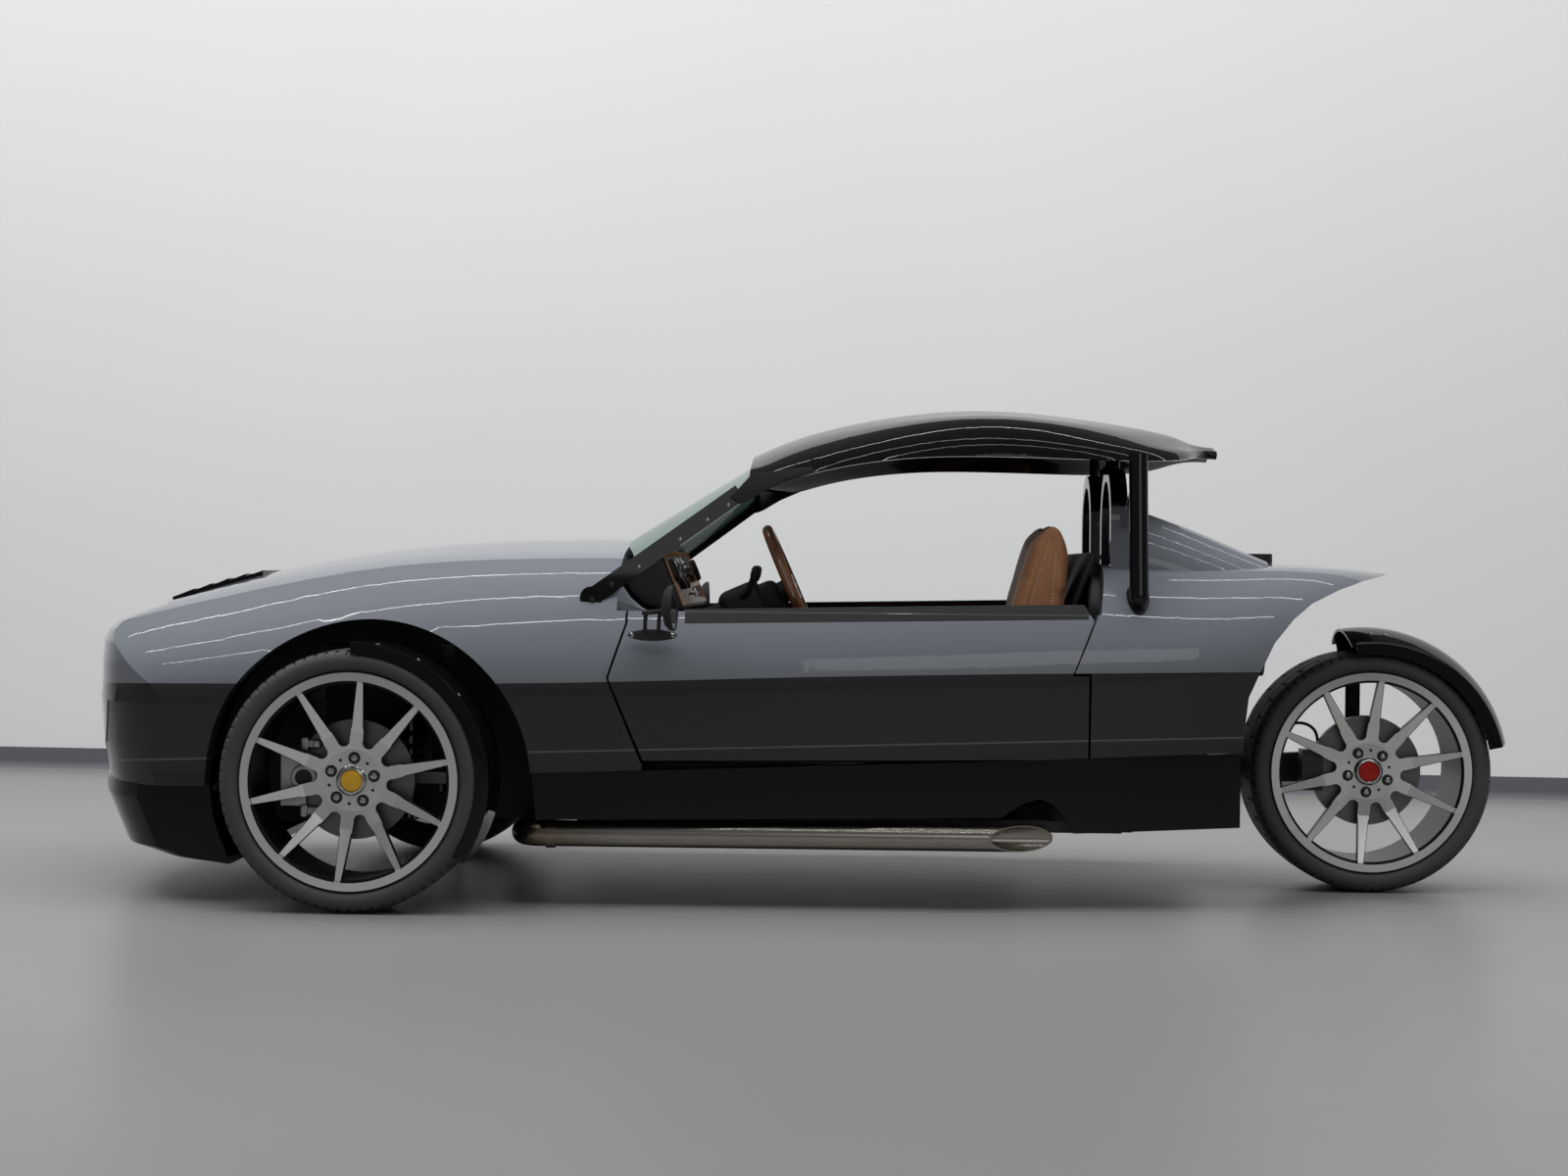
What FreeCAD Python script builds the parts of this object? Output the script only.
"""Three wheeled car: two steered and driven wheels in front, one rear wheel on a swing arm.

The frame has +X forward, +Y to the car's left and +Z up. The origin is on the road, midway between
the nose and the tip of the rear mudguard. Lengths are millimetres.
Stations along the car are given from the front axle, forward positive, and moved to the frame by
frontAxleX.
"""
import FreeCAD, Part
import math
import os
import re
import Sketcher
from FreeCAD import Placement, Rotation, Vector

doc = FreeCAD.newDocument("ThreeWheeledCar")
sheet = doc.addObject("Spreadsheet::Sheet", "Sizes")

# Driving dimensions
SIZES = {
    # Wheelbase and track
    "frontAxleX": 1096,
    "wheelbase": 2617,
    "stationBase": 2617,
    "cabinFrontX": -576,
    "cabinRearX": -1850,
    "axleHeight": 323,
    "wheelPlaneY": 738,
    "kingpinY": 690,
    # Wheels
    "tyreRadius": 323,
    "rimRadius": 267,
    "rimSeatRadius": 250,
    "barrelWall": 6,
    "frontTyreWidth": 245,
    "rearTyreWidth": 285,
    "flangeWidth": 9,
    "spokeCount": 10,
    "faceThick": 24,
    "faceLip": 8,
    "faceDish": 40,
    "hubRadius": 96,
    "hubBore": 33,
    "windowTopRadius": 240,
    "windowTopHalf": 66,
    "windowFootRadius": 101,
    "windowFootHalf": 15.5,
    "wheelTurn": 12,
    "seatGap": 0.3,
    "movingGap": 6,
    # Brakes and uprights
    "discRadius": 148,
    "discWidth": 24,
    "discGap": 6,
    "calliperHalf": 32,
    "uprightWidth": 44,
    "ballRadius": 30,
    "cupWall": 12,
    "armEyeRadius": 26,
    "armEyeThick": 16,
    "balljointRise": 112,
    "guardRadius": 336,
    "guardWall": 6,
    "guardHalfWidth": 112,
    # Body skin
    "skinWall": 62,
    "crownWall": 36,
    "archRadius": 407,
    "archBack": 20,
    "archDrop": 13,
    "archInnerY": 420,
    "linerWall": 5,
    "seam": 6,
    # Doors
    "doorKinkX": -612,
    "doorKinkZ": 577,
    "doorFrontTopX": -655,
    "doorFrontTopZ": 712,
    "doorFootX": -699,
    "doorFootZ": 346,
    "doorRearX": -1822,
    "doorRearFootZ": 377,
    "doorJogX": -1780,
    "doorJogZ": 598,
    "doorRearTopX": -1842,
    "beltZ": 744,
    "capHeight": 28,
    "doorDepth": 74,
    # Sills and exhausts
    "sillFootZ": 214,
    "sillDepth": 86,
    "pipeRadius": 33,
    "pipeWall": 3,
    "pipeZ": 184,
    "pipeInset": 28,
    "pipeBend": 50,
    "pipeSlant": 164,
    "pipeFrontX": -451,
    "pipeRearX": -1731,
    # Tub
    "tubInset": 72,
    "floorZ": 196,
    "floorThick": 30,
    "dashPanelX": -560,
    "bulkheadX": -1905,
    "bulkheadThick": 30,
    "tunnelWidth": 140,
    "tunnelHeight": 150,
    "railY": 330,
    "railWidth": 50,
    "railHeight": 60,
    "rackForeX": 110,
    "rackRadius": 8,
    "damperForeX": -85,
    "damperRadius": 16,
    "towerDrop": 77,
    "engineFootZ": 286,
    "noseRailX": 560,
    "crossBeamDepth": 60,
    "tailRailThick": 16,
    "tailRailHalfHeight": 60,
    "tailRailTail": 40,
    "shockMountHalf": 24,
    "shockMountHalfHeight": 30,
    "towSocketY": 250,
    "towSocketRadius": 9,
    # Screen and roof
    "glassThick": 6,
    "glassFootX": -576,
    "glassFootZ": 900,
    "glassTopX": -977,
    "glassTopZ": 1146,
    "glassSideFootX": -624,
    "glassSideFootZ": 815,
    "glassSideTopX": -952,
    "glassSideTopZ": 1066,
    "glassHalfWidth": 535,
    "pillarWidth": 44,
    "pillarThick": 16,
    "pillarFootX": -566,
    "pillarFootZ": 776,
    "pillarTopX": -936,
    "pillarTopZ": 1046,
    "pillarTopY": 548,
    "roofWall": 20,
    # Hoops
    "hoopX": -1943,
    "hoopFootY": 590,
    "hoopFootZ": 792,
    "hoopTopY": 536,
    "hoopTopZ": 1150,
    "hoopRadius": 24,
    "archRingX": -1906,
    "archRingY": 296,
    "archRingHalf": 150,
    "archRingTop": 1125,
    "archRingFoot": 850,
    "archRingWall": 34,
    "archRingDepth": 44,
    # Cabin
    "seatY": 292,
    "seatWidth": 440,
    "steerWheelRadius": 180,
    "steerWheelX": -1064,
    "steerWheelZ": 802,
    "steerTilt": 23.5,
    "steerGrip": 15,
    "columnRadius": 36,
    "dashHalfWidth": 534,
    # Rear suspension
    "armPivotX": -2130,
    "armPivotZ": 300,
    "armPivotHalf": 190,
    "swingArmY": 190,
    "stubRadius": 26,
    "carrierRadius": 58,
    "carrierEndY": 18,
    "shockTopX": -1975,
    "shockTopZ": 560,
    "shockFootX": -2200,
    "mudguardRadius": 387,
    "mudguardEdge": 346,
    "mudguardHalf": 152,
    "mudguardWall": 7,
    # Lamps and fittings
    "headlampRadius": 70,
    "headlampY": 390,
    "headlampZ": 578,
    "tailLampRadius": 52,
    "tailLampY": 372,
    "tailLampZ": 640,
    "fuelCapRadius": 39,
    "fuelCapX": -2327,
    "chinHalfWidth": 660,
    "chinWall": 36,
    "chinRearX": 345,
    "chinFloorZ": 112,
    "grilleHalfWidth": 262,
    "grilleLowZ": 352,
    "grilleHighZ": 470,
}

# Skin stations: x from the front axle, crown height, shoulder y and z, waist y and z, foot y and z
SKIN = {
    "nose": (860, 660, 400, 640, 566, 500, 558, 296),
    "snout": (760, 704, 450, 674, 624, 512, 616, 296),
    "corner": (620, 754, 505, 706, 674, 532, 666, 296),
    "bonnet": (430, 812, 540, 738, 712, 552, 704, 296),
    "axle": (0, 897, 560, 806, 735, 570, 728, 320),
    "cowl": (-450, 927, 566, 822, 714, 570, 706, 339),
    "hinge": (-800, 927, 560, 822, 694, 572, 684, 351),
    "door": (-1250, 908, 556, 820, 681, 580, 668, 366),
    "quarter": (-1850, 888, 520, 832, 642, 606, 630, 388),
    "deck": (-2200, 884, 452, 842, 580, 640, 566, 400),
    "tail": (-2430, 878, 372, 846, 462, 720, 452, 402),
    "duck": (-2580, 868, 232, 846, 300, 778, 294, 402),
    "tip": (-2656, 859, 96, 850, 126, 820, 122, 402),
}
SKIN_FIELDS = ("X", "CrownZ", "ShoulderY", "ShoulderZ", "WaistY", "WaistZ", "FootY", "FootZ")
for station, values in SKIN.items():
    for field, value in zip(SKIN_FIELDS, values):
        SIZES[station + field] = value

for row, (alias, value) in enumerate(SIZES.items(), start=1):
    sheet.set(f"A{row}", alias)
    sheet.set(f"B{row}", str(value))
    sheet.setAlias(f"B{row}", alias)
doc.recompute()


def size(alias):
    """One driving dimension, read from the sheet."""
    return float(sheet.get(alias))


def fore(x):
    """A station measured from the front axle, as X of the frame.

    The nose stays with the front axle and the tail with the rear axle: the cabin between them takes
    up a change of wheelbase."""
    share = (size("cabinFrontX") - x) / (size("cabinFrontX") - size("cabinRearX"))
    stretch = size("wheelbase") - size("stationBase")
    return size("frontAxleX") + x - min(max(share, 0), 1) * stretch


def cell(text):
    """An expression over the sheet's cells: each name in it gets the sheet's prefix."""
    return re.sub(r"[A-Za-z]\w*", lambda word: "Sizes." + word.group(0), text)


SUBPARTS = []


def keep(obj, label):
    """Mark a document object as a sub-part, whose Label names its file."""
    obj.Label = label
    SUBPARTS.append(obj)
    return obj


def shape(label, made, subpart=True):
    """A Part::Feature that holds a shape made with Part's own functions."""
    feature = doc.addObject("Part::Feature", label)
    feature.Shape = made
    if subpart:
        keep(feature, label)
    return feature


def primitive(kind, name, at, turn=None, **dims):
    """A Part primitive with its sizes and its place bound to the sheet."""
    obj = doc.addObject("Part::" + kind, name)
    if turn:
        obj.Placement = Placement(Vector(0, 0, 0), Rotation(*turn))
    for axis, text in zip("xyz", at):
        obj.setExpression("Placement.Base." + axis, cell(text))
    for prop, text in dims.items():
        obj.setExpression(prop, cell(text))
    return obj


def cut(name, base, tool):
    obj = doc.addObject("Part::Cut", name)
    obj.Base = base
    obj.Tool = tool
    return obj


def fuse(name, *parts):
    obj = doc.addObject("Part::MultiFuse", name)
    obj.Shapes = list(parts)
    return obj


# Shapes made from points
def polygon_face(points):
    wire = Part.makePolygon([Vector(*p) for p in points] + [Vector(*points[0])])
    return Part.Face(wire)


def side_prism(points, y_low, y_high):
    """An outline in X and Z, extruded across the car from y_low to y_high."""
    face = polygon_face([(x, y_low, z) for x, z in points])
    return face.extrude(Vector(0, y_high - y_low, 0))


def plan_prism(points, z_low, z_high):
    """An outline in X and Y, extruded upwards."""
    face = polygon_face([(x, y, z_low) for x, y in points])
    return face.extrude(Vector(0, 0, z_high - z_low))


def block(x_low, x_high, y_low, y_high, z_low, z_high):
    return Part.makeBox(x_high - x_low, y_high - y_low, z_high - z_low, Vector(x_low, y_low, z_low))


def rod(start, end, radius):
    start, end = Vector(*start), Vector(*end)
    return Part.makeCylinder(radius, (end - start).Length, start, end - start)


def mirrored(made):
    return made.mirror(Vector(0, 0, 0), Vector(0, 1, 0))


def both_sides(made):
    return Part.makeCompound([made, mirrored(made)])


def joined(first, *others):
    return first.fuse(list(others)).removeSplitter()


# Body skin
def skin_station(station, side_wall, top_wall, drop):
    """One section of the body: a curve from foot to foot over the crown, closed along the bottom.

    The walls move the curve inwards, and drop carries its feet straight down before it is closed."""
    x, crown, sh_y, sh_z, waist_y, waist_z, foot_y, foot_z = (size(station + f) for f in SKIN_FIELDS)
    x = fore(x)
    mid_y = (foot_y + waist_y) / 2 - side_wall
    mid_z = (foot_z + waist_z) / 2
    half = [
        (foot_y - side_wall, foot_z),
        (mid_y, mid_z),
        (waist_y - side_wall, waist_z),
        (sh_y - 0.7 * side_wall, sh_z - top_wall),
        (0.5 * sh_y, crown - 0.22 * (crown - sh_z) - top_wall),
    ]
    points = [Vector(x, -y, z) for y, z in half]
    points.append(Vector(x, 0, crown - top_wall))
    points += [Vector(x, y, z) for y, z in reversed(half)]
    curve = Part.BSplineCurve()
    curve.interpolate(points)
    corners = [points[-1], points[-1] - Vector(0, 0, drop), points[0] - Vector(0, 0, drop), points[0]]
    lines = [Part.makeLine(a, b) for a, b in zip(corners, corners[1:]) if (a - b).Length > 0]
    return Part.Wire([curve.toShape()] + lines)


def skin_solid(stations, side_wall=0.0, top_wall=0.0, drop=0.0):
    wires = [skin_station(name, side_wall, top_wall, drop) for name in stations]
    return Part.makeLoft(wires, True, False)


STATIONS = list(SKIN)
HOLLOW = STATIONS[1:10]
DOORS = STATIONS[5:10]

# The nose seen from above: x and half width, rounded from wing to wing
NOSE_PLAN = [
    (803, 0), (796, 150), (764, 300), (734, 400), (699, 500), (660, 580), (612, 640), (556, 682), (490, 708),
    (420, 728), (250, 770),
]
# The nose seen from the side: height, and how far the plan is moved back there
NOSE_SIDE = [(250, 34), (300, 26), (390, 9), (500, 0), (600, 1), (650, 7), (680, 22), (700, 46), (716, 84)]


def nose_section(z, back):
    """The body's plan at one height: a curve round the nose, closed behind the tail."""
    points = [Vector(fore(x) - back, -y, z) for x, y in reversed(NOSE_PLAN)]
    points += [Vector(fore(x) - back, y, z) for x, y in NOSE_PLAN[1:]]
    curve = Part.BSplineCurve()
    curve.interpolate(points)
    rear = fore(size("tipX")) - 400
    corners = [points[-1], Vector(rear, points[-1].y, z), Vector(rear, points[0].y, z), points[0]]
    lines = [Part.makeLine(a, b) for a, b in zip(corners, corners[1:])]
    return Part.Wire([curve.toShape()] + lines)


def nose_form(inset, rows):
    """The space behind the nose's face, moved back by inset."""
    low, high = rows[0], rows[-1]
    heights = [(low[0] - 160, low[1])] + rows + [(high[0] + 30, high[1] + 90), (high[0] + 500, high[1] + 160)]
    return Part.makeLoft([nose_section(z, back + inset) for z, back in heights], True, True)


outer_skin = skin_solid(STATIONS).common(nose_form(0, NOSE_SIDE))
cavity = skin_solid(HOLLOW, size("skinWall"), size("crownWall"), 120)
cavity = cavity.common(nose_form(size("skinWall"), NOSE_SIDE))
hollow_skin = outer_skin.cut(cavity)


def sill_line(x):
    """Height of the seam between body and sill, rising to the rear."""
    front, rear = size("cowlX"), size("deckX")
    rise = (x - front) / (rear - front)
    return size("cowlFootZ") + rise * (size("deckFootZ") - size("cowlFootZ"))


# Door outline, in X and Z
def door_points(grow):
    """The door's outline, moved outwards by grow."""
    top = size("beltZ") + 300
    return [
        (fore(size("doorFrontTopX")) + grow, top),
        (fore(size("doorFrontTopX")) + grow, size("doorFrontTopZ")),
        (fore(size("doorKinkX")) + grow, size("doorKinkZ")),
        (fore(size("doorFootX")) + grow, size("doorFootZ") - grow),
        (fore(size("doorRearX")) - grow, size("doorRearFootZ") - grow),
        (fore(size("doorRearX")) - grow, size("doorJogZ") + grow),
        (fore(size("doorJogX")) - grow, size("doorJogZ") + grow),
        (fore(size("doorRearTopX")) - grow, size("beltZ")),
        (fore(size("doorRearTopX")) - grow, top),
    ]


def skin_width(x, z):
    """Half width of the outer skin at a station and height."""
    probe = Part.makeLine(Vector(fore(x), 0, z), Vector(fore(x), 1200, z))
    return outer_skin.common(probe).BoundBox.YMax


hinge_x = size("doorKinkX") + size("seam") / 2
pin_radius = size("seam") / 2 - size("seatGap")
hinge_y = skin_width(hinge_x, size("doorKinkZ")) - pin_radius
print(f"door hinge axis at x {fore(hinge_x):.2f}, y {hinge_y:.2f}")


def door_cutter(grow, y_low):
    return side_prism(door_points(grow), y_low, 900)


belt = size("beltZ")
cabin_top = side_prism(
    [
        (fore(size("pillarFootX")) - 60, 1400),
        (fore(size("pillarFootX")) - 66, belt),
        (fore(size("doorRearTopX")) - size("seam"), belt),
        (fore(size("doorRearTopX")) - 16, belt + 70),
        (fore(size("doorRearTopX")) - 42, 1020),
        (fore(size("doorRearTopX")) - 50, 1400),
    ],
    -900,
    900,
)
arch_x = fore(-size("archBack"))
arch_z = size("axleHeight") - size("archDrop")
arch_tool = rod((arch_x, size("archInnerY"), arch_z), (arch_x, 900, arch_z), size("archRadius"))
open_shell = hollow_skin.cut([cabin_top, arch_tool, mirrored(arch_tool)])
door_opening = door_cutter(0, 500)
below_doors = block(fore(-1822), fore(size("doorFootX") - 3), -900, 900, 200, size("doorFootZ") + 40)
split_shell = open_shell.cut([door_opening, mirrored(door_opening), below_doors])

# Front body, with the mouth for the grille and the lamp wells
front_half = split_shell.common(block(fore(-760), fore(900), -900, 900, 100, 1400))
mouth = block(fore(660), fore(900), -size("grilleHalfWidth"), size("grilleHalfWidth"),
              size("grilleLowZ"), size("grilleHighZ"))
lamp_radius = size("headlampRadius")
lamp_well = rod((fore(600), size("headlampY"), size("headlampZ")),
                (fore(900), size("headlampY"), size("headlampZ")), lamp_radius + size("seatGap"))
hinge_pin = rod((fore(hinge_x), hinge_y, size("doorKinkZ") - 14), (fore(hinge_x), hinge_y, size("doorKinkZ") + 14),
                pin_radius)
hinge_tab = block(fore(hinge_x), fore(hinge_x) + 12, hinge_y - pin_radius, hinge_y, size("doorKinkZ") - 14,
                  size("doorKinkZ") + 14)
front_body = front_half.cut([mouth, lamp_well, mirrored(lamp_well)])
front_body = joined(front_body, hinge_pin, hinge_tab, mirrored(hinge_pin), mirrored(hinge_tab))
shape("front_shell", front_body)

lamp = rod((fore(640), size("headlampY"), size("headlampZ")),
           (fore(812), size("headlampY"), size("headlampZ")), lamp_radius).common(outer_skin)
shape("headlamps", both_sides(lamp))

# Grille: a frame that fills the mouth, with bars across it
mouth_gap = size("seatGap")
grille_low, grille_high = size("grilleLowZ") + mouth_gap, size("grilleHighZ") - mouth_gap
grille_half = size("grilleHalfWidth") - mouth_gap
grille_frame = block(fore(728), fore(752), -grille_half, grille_half, grille_low, grille_high)
grille_rim = 12
grille_hole = block(fore(720), fore(760), grille_rim - grille_half, grille_half - grille_rim,
                    grille_low + grille_rim, grille_high - grille_rim)
bars = [
    block(fore(733), fore(747), -grille_half + 6, grille_half - 6, z - 3, z + 3)
    for z in (grille_low + (grille_high - grille_low) * k / 4 for k in (1, 2, 3))
]
shape("grille", joined(grille_frame.cut(grille_hole), *bars))

# Chin below the nose: a tray rounded in plan like the nose above it, open on top and behind
CHIN_SIDE = [(92, 296), (110, 160), (138, 72), (200, 45), (262, 19), (296, 20)]
chin_half, chin_wall = size("chinHalfWidth"), size("chinWall")
chin_rear = fore(size("chinRearX"))
chin_form = Part.makeLoft([nose_section(z, back) for z, back in CHIN_SIDE], True, True)
chin_room = Part.makeLoft([nose_section(z, back + chin_wall) for z, back in CHIN_SIDE], True, True)
chin_top = size("bonnetFootZ") - size("seatGap")
chin_form = chin_form.common(block(chin_rear, fore(900), -chin_half, chin_half, 80, chin_top))
chin_room = chin_room.common(block(chin_rear - 10, fore(900), chin_wall - chin_half, chin_half - chin_wall,
                                   size("chinFloorZ"), 400))
tow_z = size("floorZ") + size("railHeight") / 2
tow_y, tow_hole_radius = size("towSocketY"), size("towSocketRadius") + 5
tow_hole = rod((fore(500), tow_y, tow_z), (fore(900), tow_y, tow_z), tow_hole_radius)
chin = chin_form.cut([chin_room, arch_tool, mirrored(arch_tool), tow_hole, outer_skin])
shape("front_valance", max(chin.Solids, key=lambda solid: solid.Volume))

# Louvres on the bonnet
def crown_at(x):
    """Height of the body's centreline at a station, on a straight line between skin stations."""
    for ahead, behind in zip(STATIONS, STATIONS[1:]):
        x_ahead, x_behind = size(ahead + "X"), size(behind + "X")
        if x_behind <= x <= x_ahead:
            share = (x - x_behind) / (x_ahead - x_behind)
            return size(behind + "CrownZ") + share * (size(ahead + "CrownZ") - size(behind + "CrownZ"))
    return size("noseCrownZ")


# Five slats, one behind another like shingles, each rising to its rear edge
slats = []
for index in range(5):
    x_front = 600 - 44 * index
    x_rear = x_front - 58
    slats.append(side_prism([
        (fore(x_front), crown_at(x_front) - 24), (fore(x_front), crown_at(x_front) + 1),
        (fore(x_rear), crown_at(x_rear) + 6 + index), (fore(x_rear), crown_at(x_rear) - 24)],
        -206 + 10 * index, 206 - 10 * index))
louvres = joined(slats[0], *slats[1:]).cut(outer_skin)
shape("hood_louvres", louvres)

# Rear body: quarters, deck, humps and the hollow tail face
rear_half = split_shell.common(block(fore(-2700), fore(-1700), -900, 900, 100, 1400))
hump_start, hump_end = fore(size("archRingX")) - size("archRingDepth") / 2 - size("seatGap"), fore(-2305)
hump_y = size("archRingY")


def hump_wire(x, half, low, high):
    arc = Part.Arc(Vector(x, hump_y - half, low), Vector(x, hump_y, high), Vector(x, hump_y + half, low))
    base_line = Part.makeLine(Vector(x, hump_y + half, low), Vector(x, hump_y - half, low))
    return Part.Wire([arc.toShape(), base_line])


hump = Part.makeLoft(
    [hump_wire(hump_start, 146, 850, 1024), hump_wire(fore(-2060), 140, 850, 984),
     hump_wire(fore(-2200), 112, 850, 928), hump_wire(hump_end, 60, 850, 884)],
    True, False)
tail_face = [
    (-2213, 0), (-2213, 430), (-2224, 540), (-2256, 610), (-2292, 678), (-2345, 737), (-2400, 778),
    (-2480, 812), (-2562, 836), (-2680, 856), (-2900, 856), (-2900, 0),
]
tail_tool = side_prism([(fore(x), z) for x, z in tail_face], -900, 900)
arm_slot = block(fore(-2320), fore(-1960), -250, 250, 100, 520)
rear_body = joined(rear_half, hump, mirrored(hump)).cut([tail_tool, arm_slot, cabin_top])
tail_x = fore(-2240)
tail_well = rod((tail_x, size("tailLampY"), size("tailLampZ")), (fore(-2400), size("tailLampY"), size("tailLampZ")),
                size("tailLampRadius") + size("seatGap"))
cap_z = crown_at(size("fuelCapX"))
cap_foot = (fore(size("fuelCapX")), 0, cap_z - 12)
cap_well = rod(cap_foot, (fore(size("fuelCapX")), 0, cap_z + 60), size("fuelCapRadius") + size("seatGap"))
shape("rear_shell", rear_body.cut([tail_well, mirrored(tail_well), cap_well]))
tail_lamp = rod((tail_x, size("tailLampY"), size("tailLampZ")), (tail_x - 46, size("tailLampY"), size("tailLampZ")),
                size("tailLampRadius"))
shape("tail_lamps", both_sides(tail_lamp))
shape("fuel_cap", rod(cap_foot, (fore(size("fuelCapX")), 0, cap_z + 26), size("fuelCapRadius")))

# Doors: the slice of the skin inside the door's outline, with a black rail on top
door_wall = outer_skin.cut(skin_solid(DOORS, size("doorDepth"), 0, 120))
rear_relief = plan_prism(
    [(fore(size("doorRearX")) - 30, 400), (fore(size("doorRearX")) - 30, 632),
     (fore(size("doorJogX")) + 40, 520), (fore(size("doorJogX")) + 40, 400)], 300, 900)
belt_band = block(fore(-2000), fore(-500), 400, 900, belt, belt + size("capHeight"))
left_door_space = door_cutter(-size("seam"), 500)
above_belt = block(fore(-2000), fore(-500), 400, 900, belt, 1500)
door_body = door_wall.common(left_door_space).cut([rear_relief, above_belt])
cap_top = belt + size("capHeight")
cap_space = side_prism(
    [(fore(-789), belt), (fore(size("doorRearTopX")) + size("seam"), belt),
     (fore(size("doorRearTopX")) - 4, cap_top), (fore(-800), cap_top)], 500, 900)
door_rail = door_wall.common(cap_space).cut(rear_relief)


def mirror_pieces():
    """Door mirror: a base plate on the door's top, two posts and an oval head."""
    base = block(fore(-805), fore(-685), 640, 706, 684, 700)
    front_post = rod((fore(-720), 690, 696), (fore(-728), 752, 716), 6)
    rear_post = rod((fore(-756), 690, 696), (fore(-764), 752, 722), 6)
    oval = Part.Ellipse(Vector(0, 0, 0), 64, 36).toShape()
    head = Part.Face(Part.Wire([oval])).extrude(Vector(0, 0, 30))
    head = head.makeFillet(9, head.Edges)
    head.Placement = Placement(Vector(fore(-735), 790, 728), Rotation(Vector(0, 1, 1), Vector(1, 0, 0)))
    return joined(base, front_post, rear_post, head)


mirror_left = mirror_pieces().cut(door_body)
shape("door_left", door_body)
shape("door_right", mirrored(door_body))
shape("door_cap_left", door_rail)
shape("door_cap_right", mirrored(door_rail))
shape("door_mirror_left", mirror_left)
shape("door_mirror_right", mirrored(mirror_left))

# Tub: floor, tunnel, dash panel and rear bulkhead
TUB_LENGTH = "dashPanelX - bulkheadX + wheelbase - stationBase"
TUB_REAR = "frontAxleX + bulkheadX + stationBase - wheelbase"
floor = primitive("Box", "FloorPlate", (TUB_REAR, "tubInset - doorFootY", "floorZ"),
                  Length=TUB_LENGTH, Width="2 * (doorFootY - tubInset)", Height="floorThick")
tub_half = size("doorFootY") - size("tubInset")
cabin_space = skin_solid(HOLLOW, size("skinWall") + 1, size("crownWall") + 1, 200)


def cross_panel(front_x, top_z):
    """A panel across the tub, trimmed to the inside of the skin."""
    half, floor_z, thick = tub_half, size("floorZ"), size("bulkheadThick")
    upper = block(fore(front_x) - thick, fore(front_x), -half, half, floor_z + 100, top_z).common(cabin_space)
    lower = block(fore(front_x) - thick, fore(front_x), -half + 30, half - 30, floor_z, floor_z + 110)
    return upper.fuse(lower)


dash_panel = shape("DashPanel", cross_panel(size("dashPanelX") + size("bulkheadThick"), 800), subpart=False)
bulkhead = shape("Bulkhead", cross_panel(size("bulkheadX"), 836), subpart=False)
tunnel = primitive("Box", "Tunnel", (TUB_REAR, "-tunnelWidth / 2", "floorZ"),
                   Length=TUB_LENGTH, Width="tunnelWidth", Height="tunnelHeight")
keep(fuse("Tub", floor, dash_panel, bulkhead, tunnel), "floor_tub")

# Front frame: two rails from the dash panel to a cross beam with the tow socket
nose_rails = []
for name, y in (("Left", "railY"), ("Right", "-railY - railWidth")):
    nose_rails.append(primitive(
        "Box", "NoseRail" + name, ("frontAxleX + dashPanelX + bulkheadThick", y, "floorZ"),
        Length="noseRailX - dashPanelX - bulkheadThick", Width="railWidth", Height="railHeight"))
BEAM_REAR = "frontAxleX + noseRailX - crossBeamDepth"
cross_beam = primitive("Box", "NoseCrossBeam", (BEAM_REAR, "-railY", "floorZ"),
                       Length="crossBeamDepth", Width="2 * railY", Height="railHeight")
tow_socket = primitive("Cylinder", "TowSocket", (BEAM_REAR, "towSocketY", "floorZ + railHeight / 2"),
                       turn=(Vector(0, 1, 0), 90), Radius="towSocketRadius", Height="crossBeamDepth")
keep(fuse("NoseFrame", cut("NoseCross", cross_beam, tow_socket), *nose_rails), "front_frame")

# Rear frame: two plates that carry the swing arm's pivot, and the damper's mount, on the bulkhead
BULKHEAD_REAR = "bulkheadX - bulkheadThick"
REAR_SHIFT = "frontAxleX + stationBase - wheelbase"
tail_rails = []
for name, y in (("Left", "armPivotHalf + seatGap"), ("Right", "-armPivotHalf - seatGap - tailRailThick")):
    tail_rails.append(primitive(
        "Box", "TailRail" + name, (f"{REAR_SHIFT} + armPivotX - tailRailTail", y, "armPivotZ - tailRailHalfHeight"),
        Length=f"{BULKHEAD_REAR} - armPivotX + tailRailTail", Width="tailRailThick",
        Height="2 * tailRailHalfHeight"))
shock_mount = primitive(
    "Box", "ShockMount", (f"{REAR_SHIFT} + shockTopX", "-shockMountHalf", "shockTopZ - shockMountHalfHeight"),
    Length=f"{BULKHEAD_REAR} - shockTopX", Width="2 * shockMountHalf", Height="2 * shockMountHalfHeight")
rear_frame = doc.addObject("Part::Compound", "RearFrame")
rear_frame.Links = [*tail_rails, shock_mount]
keep(rear_frame, "rear_frame")

# Sills below the doors, and their run to the tail
def sill():
    outline = [
        (fore(-430), sill_line(-430) - 1),
        (fore(-2206), sill_line(-2206) - 1),
        (fore(-2206), 211),
        (fore(-1780), 198),
        (fore(-1756), size("sillFootZ") + 26),
        (fore(-1730), size("sillFootZ") + 56),
        (fore(-1696), size("sillFootZ") + 70),
        (fore(-1650), size("sillFootZ") + 56),
        (fore(-1600), size("sillFootZ") + 22),
        (fore(-440), size("sillFootZ") + 8),
    ]
    foot = size("doorFootY")
    plan = [
        (fore(-430), foot + 32),
        (fore(-800), foot + 14),
        (fore(-1250), foot - 2),
        (fore(-1850), foot - 40),
        (fore(-2206), foot - 106),
        (fore(-2206), foot - 153),
        (fore(-1940), tub_half + 2),
        (fore(-430), tub_half + 2),
    ]
    return side_prism(outline, 400, 900).common(plan_prism(plan, 100, 500))


shape("side_sills", both_sides(sill()))

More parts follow.
